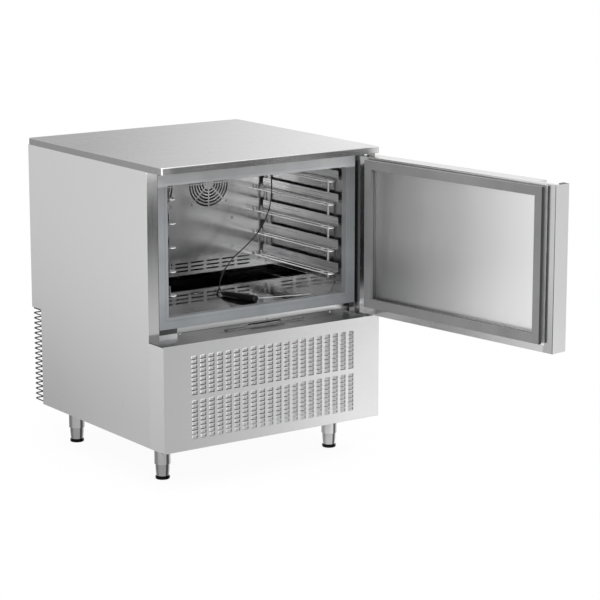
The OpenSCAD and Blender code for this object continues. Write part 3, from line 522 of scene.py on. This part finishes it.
for look, names in LOOK.items():
    for name in names:
        nodes[name].data.materials.clear()
        nodes[name].data.materials.append(M[look])


def keep(bm, name, look, body, node=None):
    """Makes the mesh an object of its look that rides on the body."""
    ob = mesh_object(bm, name)
    ob.data.materials.append(M[look])
    if node:
        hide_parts(node)
    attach(ob, body)


# ---- The probe's cable ----

CHAMBER_Z = 0.508
CABLE_R = 0.0021
# The solid's route, in millimetres, with z from the chamber's floor
ROUTE = [
    (270, 9, 401), (270, 9, 374), (271, 9, 342), (272, 8, 309), (269, 7, 275),
    (262, 8, 237), (249, 15, 198), (233, 22, 168), (208, 27, 139), (176, 32, 112),
    (143, 35, 87), (120, 36, 64), (102, 37, 41), (88, 31, 19), (78, 21, 7), (68, 7, 3.6),
    (50, -15, 3.4), (30, -39, 3.6), (13, -61, 5), (4, -78, 7.4), (1.6, -92, 9),
    (3.1, -104.6, 9.2),
]


def smooth(points, steps):
    """The same smooth curve through the points as the solid's."""
    out, n = [], len(points)
    for i in range(n - 1):
        p0, p1 = points[max(i - 1, 0)], points[i]
        p2, p3 = points[i + 1], points[min(i + 2, n - 1)]
        for k in range(steps):
            t = k / steps
            square = (2 * p0 - 5 * p1 + 4 * p2 - p3) * t * t
            cube = (3 * p1 - p0 - 3 * p2 + p3) * t * t * t
            out.append(0.5 * (2 * p1 + (p2 - p0) * t + square + cube))
    return out + [points[-1]]


route = smooth([Vector((x / 1000, y / 1000, z / 1000 + CHAMBER_Z)) for x, y, z in ROUTE], 4)
curve = bpy.data.curves.new("cable_jacket", "CURVE")
curve.dimensions = "3D"
curve.bevel_depth = CABLE_R
curve.bevel_resolution = 3
curve.use_fill_caps = True
line = curve.splines.new("POLY")
line.points.add(len(route) - 1)
for point, p in zip(line.points, route):
    point.co = (*p, 1.0)
cable = add("cable_jacket", curve)
cable.data.materials.append(M["cable"])
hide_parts("probe_cable")
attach(cable, "cabinet")

# ---- Lower panel: the folded pan with smooth pressed louvres ----

PAN_X, PAN_Z0, PAN_Z1 = 0.400, 0.122, 0.450
PAN_Y, PAN_DEPTH, PAN_T = -0.400, 0.081, 0.0015
FLANGE_Y, FLANGE_DEPTH = PAN_Y + 0.0002, 0.02
LOUVRE_PX, LOUVRE_PZ = 0.0306, 0.0136
LOUVRE_COLS, LOUVRE_ROWS = 20, 9
# The height of each bank's highest louvres, counted down in rows from the panel's top
BANK_TOPS = [PAN_Z1 - rows * LOUVRE_PZ for rows in (3.346, 13.38)]
# Of one louvre, measured from its height in the bank: the dome's lip and top, the slot's lower
# edge, and the cell's lower edge; then half its width and how far it stands out
LIP_Z, DOME_Z, SLOT_Z, CELL_Z = -0.0024, 0.0064, -0.0054, -0.0055
DOME_X, DOME_H = 0.0100, 0.0030
DOME_BULGE = 0.6
DOME_COLS, DOME_ROWS = 10, 5


def flat(bm, x0, x1, z0, z1):
    """A rectangle of the panel's face."""
    corners = ((x0, z0), (x1, z0), (x1, z1), (x0, z1))
    bm.faces.new([bm.verts.new((x, PAN_Y, z)) for x, z in corners])


def box(bm, lo, hi):
    for v in bmesh.ops.create_cube(bm, size=1.0)["verts"]:
        v.co = [a + (b - a) * (c + 0.5) for a, b, c in zip(lo, hi, v.co)]


def dome(bm, x, z):
    """One pressed louvre: round towards its top and sides, open along its lip."""
    grid = []
    for j in range(DOME_ROWS + 1):
        a = 0.5 * math.pi * j / DOME_ROWS
        height = z + LIP_Z + (DOME_Z - LIP_Z) * math.sin(a)
        row = []
        for i in range(DOME_COLS + 1):
            u = -math.cos(math.pi * i / DOME_COLS)
            out = DOME_H * max(0.0, 1.0 - u * u) ** DOME_BULGE * math.cos(a)
            row.append(bm.verts.new((x + DOME_X * u, PAN_Y - out, height)))
        grid.append(row)
    for low, high in zip(grid, grid[1:]):
        for i in range(DOME_COLS):
            bm.faces.new((low[i], low[i + 1], high[i + 1], high[i])).smooth = True


def louvre_cell(bm, x, z):
    """A dome and the flat panel round it."""
    x0, x1 = x - 0.5 * LOUVRE_PX, x + 0.5 * LOUVRE_PX
    z0, z1 = z + CELL_Z, z + CELL_Z + LOUVRE_PZ
    flat(bm, x0, x - DOME_X, z0, z1)
    flat(bm, x + DOME_X, x1, z0, z1)
    flat(bm, x - DOME_X, x + DOME_X, z0, z + SLOT_Z)
    flat(bm, x - DOME_X, x + DOME_X, z + DOME_Z, z1)
    dome(bm, x, z)


def louvre_bank(bm, top, z_above):
    """A bank of louvres, plain up to z_above; gives the height of its lower edge."""
    half = 0.5 * LOUVRE_COLS * LOUVRE_PX
    z1 = top + CELL_Z + LOUVRE_PZ
    z0 = z1 - LOUVRE_ROWS * LOUVRE_PZ
    flat(bm, -PAN_X, PAN_X, z1, z_above)
    flat(bm, -PAN_X, -half, z0, z1)
    flat(bm, half, PAN_X, z0, z1)
    for i in range(LOUVRE_COLS):
        for j in range(LOUVRE_ROWS):
            louvre_cell(bm, (i - 0.5 * (LOUVRE_COLS - 1)) * LOUVRE_PX, top - j * LOUVRE_PZ)
    return z0


def flanges(bm):
    """The pan's folds: the top, both sides and a narrow one below."""
    back = PAN_Y + PAN_DEPTH
    box(bm, (-PAN_X, FLANGE_Y, PAN_Z1 - PAN_T), (PAN_X, back, PAN_Z1))
    for x0, x1 in ((-PAN_X, -PAN_X + PAN_T), (PAN_X - PAN_T, PAN_X)):
        box(bm, (x0, FLANGE_Y, PAN_Z0), (x1, back, PAN_Z1))
    box(bm, (-PAN_X, FLANGE_Y, PAN_Z0), (PAN_X, PAN_Y + FLANGE_DEPTH, PAN_Z0 + PAN_T))


bm = bmesh.new()
lower_edge = PAN_Z1
for top in BANK_TOPS:
    lower_edge = louvre_bank(bm, top, lower_edge)
flat(bm, -PAN_X, PAN_X, PAN_Z0, lower_edge)
flanges(bm)
louvred = mesh_object(bm, "louvred_panel")
louvred.data.materials.append(M["panel"])
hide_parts("lower_front_panel")
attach(louvred, "cabinet")

# ---- Screws: domed heads with a cross recess drawn as painted shade ----

SCREW_R, SCREW_H, SCREW_RIM_H = 0.0040, 0.00178, 0.0006
SCREW_STEPS, SCREW_RINGS = 20, 5
CROSS_ARM, CROSS_HALF, CROSS_LIFT, CROSS_SAG = 0.0021, 0.00045, 0.00002, 0.00035
# Four screws round each fan's middle, two on each side of the cover, and two in the fascia
FAN_X, FAN_Z, FAN_SCREW_X, FAN_SCREW_Z = 0.106, 0.827, 0.066, 0.064
COVER_Y, COVER_SIDE_X, COVER_SIDE_ZS = 0.126, 0.195, (0.613, 0.706)
FASCIA_Y, FASCIA_Z, FASCIA_XS = -0.3205, 0.461, (-0.290, 0.268)
SIDES = (-1, 1)
SCREWS = [
    (s * FAN_X + a * FAN_SCREW_X, COVER_Y, FAN_Z + b * FAN_SCREW_Z)
    for s in SIDES for a in SIDES for b in SIDES
]
SCREWS += [(s * COVER_SIDE_X, COVER_Y, z) for s in SIDES for z in COVER_SIDE_ZS]
SCREWS += [(x, FASCIA_Y, FASCIA_Z) for x in FASCIA_XS]


def screw_head(bm, at):
    """A dome on a short straight rim."""
    x, y, z = at
    turns = [2 * math.pi * i / SCREW_STEPS for i in range(SCREW_STEPS)]
    sizes = [(SCREW_R, 0.0)]
    for j in range(SCREW_RINGS):
        a = 0.5 * math.pi * j / SCREW_RINGS
        rise = (SCREW_H - SCREW_RIM_H) * math.sin(a)
        sizes.append((SCREW_R * math.cos(a), SCREW_RIM_H + rise))
    rows = []
    for r, h in sizes:
        ring_points = [(x + r * math.cos(t), y - h, z + r * math.sin(t)) for t in turns]
        rows.append([bm.verts.new(p) for p in ring_points])
    rows.append([bm.verts.new((x, y - SCREW_H, z))] * SCREW_STEPS)
    for low, high in zip(rows, rows[1:]):
        for i in range(SCREW_STEPS):
            k = (i + 1) % SCREW_STEPS
            # The last ring's faces are triangles, because they share the vertex on top
            corners = dict.fromkeys([low[i], low[k], high[k], high[i]])
            bm.faces.new(corners).smooth = low is not rows[0]


def screw_cross(bm, at):
    """The recess, drawn as a dark cross of painted shade that follows the head."""
    x, y, z = at
    corners = [(u, -CROSS_HALF) for u in (-CROSS_ARM, 0, CROSS_ARM)]
    corners += [(u, CROSS_HALF) for u in (CROSS_ARM, 0, -CROSS_ARM)]
    for turn in (0.25 * math.pi, 0.75 * math.pi):
        c, d = math.cos(turn), math.sin(turn)
        verts = []
        for u, v in corners:
            out = y - SCREW_H - CROSS_LIFT + (CROSS_SAG if u else 0.0)
            verts.append(bm.verts.new((x + u * c - v * d, out, z + u * d + v * c)))
        bm.faces.new((verts[0], verts[1], verts[4], verts[5]))
        bm.faces.new((verts[1], verts[2], verts[3], verts[4]))


bm = bmesh.new()
for at in SCREWS:
    screw_head(bm, at)
keep(bm, "screw_heads", "screw", "cabinet", "panel_screws")
bm = bmesh.new()
for at in SCREWS:
    screw_cross(bm, at)
# A flat black cross on each head: painted shade in place of the hollow recess
keep(bm, "screw_recess_shade", "black", "cabinet")

# ---- Controls: the display's digits and the buttons' signs ----

# The door's outer face as stored, 98 degrees open
OPEN = math.radians(98.0)
OUT = Vector((math.sin(OPEN), -math.cos(OPEN), 0.0))
RIGHT = Vector((math.cos(OPEN), math.sin(OPEN), 0.0))
UPWARD = Vector((0, 0, 1))
MARK_LIFT = 0.00005


def marks(name, on, polygons, look, body):
    """Flat polygons, in millimetres to the right and up, on the outer face of a door's piece."""
    points = [v.co for v in nodes[on].data.vertices]
    right = [p.dot(RIGHT) for p in points]
    up = [p.z for p in points]
    centre = OUT * (max(p.dot(OUT) for p in points) + MARK_LIFT)
    centre += 0.5 * (RIGHT * (min(right) + max(right)) + UPWARD * (min(up) + max(up)))
    bm = bmesh.new()
    for polygon in polygons:
        corners = [centre + 0.001 * (RIGHT * u + UPWARD * v) for u, v in polygon]
        bm.faces.new([bm.verts.new(p) for p in corners])
    keep(bm, name, look, body)


def bar(x, z, w, h):
    """A rectangle of w by h round x and z."""
    return [(x + a * w / 2, z + b * h / 2) for a, b in ((-1, -1), (1, -1), (1, 1), (-1, 1))]


def ring(r, width, first, last, steps=18):
    """An arc from the first to the last angle in degrees, as a chain of quads."""
    turns = [math.radians(first + (last - first) * i / steps) for i in range(steps + 1)]
    inner, outer = (
        [(size * math.cos(t), size * math.sin(t)) for t in turns] for size in (r, r + width)
    )
    return [[inner[i], outer[i], outer[i + 1], inner[i + 1]] for i in range(steps)]


STROKE, ACROSS, TALL = 1.5, 6.4, 6.6
SEGMENTS = {
    "a": (0, 8.4, ACROSS, STROKE), "b": (4.2, 4.2, STROKE, TALL),
    "c": (4.2, -4.2, STROKE, TALL), "d": (0, -8.4, ACROSS, STROKE),
    "e": (-4.2, -4.2, STROKE, TALL), "f": (-4.2, 4.2, STROKE, TALL),
    "g": (0, 0, ACROSS, STROKE),
}
# Where each digit stands and which of its segments are on
DIGITS = ((-18.0, "g"), (0.0, "bc"), (18.0, "abcdefg"))
digits = []
for shift, on in DIGITS:
    for key in on:
        x, z, w, h = SEGMENTS[key]
        digits.append(bar(x + shift, z, w, h))
marks("display_digits", "display_window", digits, "lit", "door")

SIGNS = {
    "power": ring(2.6, 0.8, 125, 415) + [bar(0, 2.4, 0.8, 3.4)],
    "start": [[(-1.8, -2.8), (3.0, 0), (-1.8, 2.8)]],
    "up": [[(-2.8, -1.6), (2.8, -1.6), (0, 2.6)]],
    "down": [[(-2.8, 1.6), (0, -2.6), (2.8, 1.6)]],
}
for key, polygons in SIGNS.items():
    marks("sign_" + key, "button_" + key, polygons, "ink", "button_" + key)

# ---- Floor ----


def paper_light(m):
    """How bright the metal sees the paper, by where its reflections meet it."""
    fx, fy = m.place(0), m.place(1)
    # Ahead it gets brighter to the right; along a line of one across, the front's
    # reflections stay at one place
    across = m.total(m.both(fx, 0.799), m.both(fy, 0.5647))
    ahead = m.total(
        m.span(across, -0.52, -0.2, 0.69, 0.95),
        m.span(across, -0.2, 0.06, 0.0, 0.52),
        m.span(across, 0.25, 0.6, 0.0, -0.32),
    )
    # Dim patches far in front, which darken the top of the stiles and the chamber
    far_patch = m.both(
        m.span(across, 0.35, -0.1), m.span(across, -1.6, -1.0), m.span(fy, -2.5, -4.1)
    )
    near_patch = m.both(m.span(fy, -2.2, -2.5), m.span(fx, 0.35, 0.1), m.span(fx, -2.1, -1.8))
    ahead = m.dim(m.dim(ahead, far_patch, 0.14), near_patch, 0.22)
    # Behind on the left, where the side panel looks: along is the depth on the panel
    along = m.total(fy, m.both(fx, 1.415))
    behind = m.both(m.span(along, -1.0, -0.1, 1.20, 0.82), m.span(fx, -0.7, -2.2, 0.66, 1.0))
    level = m.blend(m.span(fy, -0.5, 0.5), ahead, behind)
    # Dim under the open door; brighter in front on the left, and in a spot that the metal
    # at the worktop's left corner shows
    under_door = m.both(m.span(fx, 0.55, 0.9), m.span(fy, -0.85, -0.4))
    left = m.both(m.span(fx, -0.35, -0.9), m.span(fy, -2.4, -2.0), m.span(fy, -0.3, -0.8))
    spot = m.both(m.span(across, -0.46, -0.50), m.span(fy, -4.95, -5.15), m.span(fy, -6.2, -5.9))
    level = m.dim(level, under_door, 0.25)
    return m.total(level, m.both(left, 0.7), m.both(spot, 0.7))


def paper():
    """Pale paper that turns white away from the part."""
    m = Mat("floor_paper", Roughness=0.9, Base_Color=grey(0.86))
    away = m.node("ShaderNodeVectorMath", {0: m.co}, operation="LENGTH").outputs["Value"]
    white = m.node("ShaderNodeEmission", {"Color": WHITE, "Strength": 1.0}).outputs[0]
    share = m.span(away, 0.4, 1.6, 0.94, 1.0)
    seen = m.node("ShaderNodeMixShader", {0: share, 1: m.p.outputs[0], 2: white}).outputs[0]
    glow = {"Color": WHITE, "Strength": paper_light(m)}
    unseen = m.node("ShaderNodeEmission", glow).outputs[0]
    ray = m.node("ShaderNodeLightPath").outputs["Is Camera Ray"]
    ends = {0: ray, 1: unseen, 2: seen}
    m.link(m.node("ShaderNodeMixShader", ends).outputs[0], m.out.inputs[0])
    return m.m


bm = bmesh.new()
bmesh.ops.create_circle(bm, cap_ends=True, segments=96, radius=40.0)
floor = mesh_object(bm, "floor")
floor.location = (0, 0, -0.0005)
floor.data.materials.append(paper())

# ---- Light ----


def studio_sky(world):
    """A plain room: dim low in front, even behind, and white where the camera sees it."""
    w = Nodes(world.node_tree)
    direction = w.node("ShaderNodeTexCoord").outputs["Generated"]
    xyz = w.node("ShaderNodeSeparateXYZ", {0: direction}).outputs
    ahead = w.span(xyz[2], 0.02, 0.38, 0.16, 1.15)
    behind = w.span(xyz[2], 0.0, 0.5, 0.92, 1.0)
    sky = w.blend(w.span(xyz[1], -0.35, 0.35), ahead, behind)
    ray = w.node("ShaderNodeLightPath").outputs["Is Camera Ray"]
    strength = w.blend(ray, sky, 1.0)
    room = w.node("ShaderNodeBackground", {"Color": WHITE, "Strength": strength})
    w.link(room.outputs[0], w.node("ShaderNodeOutputWorld").inputs[0])


def softbox(name, at, to, size, power):
    data = bpy.data.lights.new(name, "AREA")
    data.shape = "RECTANGLE"
    data.size, data.size_y = size
    data.energy = power
    ob = add(name, data)
    ob.location = at
    aim(ob, Vector(to) - Vector(at))
    ob.visible_camera = False


def card_light():
    """Light that gets stronger towards the card's right."""
    m = Mat("card_light")
    strength = m.span(m.place(0), -0.09, 0.17, 0.52, 1.12)
    glow = m.node("ShaderNodeEmission", {"Color": WHITE, "Strength": strength})
    m.link(glow.outputs[0], m.out.inputs[0])
    return m.m


scene.world = bpy.data.worlds.new("studio")
scene.world.use_nodes = True
studio_sky(scene.world)

# A card behind on the right that only the metal sees
bm = bmesh.new()
bmesh.ops.create_grid(bm, x_segments=2, y_segments=2, size=0.5)
card = mesh_object(bm, "card")
card.scale = (4.4, 2.2, 1.0)
card.location = (1.3, 2.2, 1.75)
aim(card, (-0.5647, -0.799, 0.0), "Z")
card.visible_camera = False
card.visible_diffuse = False
card.visible_shadow = False
card.data.materials.append(card_light())

softbox("light_front", (-2.6, -3.6, 3.4), (0, 0, 0.6), (2.4, 2.0), 70.0)
softbox("light_low", (-2.4, -3.4, 0.75), (0.2, -0.1, 0.75), (1.6, 1.1), 26.0)
softbox("light_over", (0.4, -0.4, 4.2), (0, 0, 0.5), (3.2, 3.2), 60.0)

scene.view_settings.view_transform = "Standard"
scene.view_settings.look = "None"
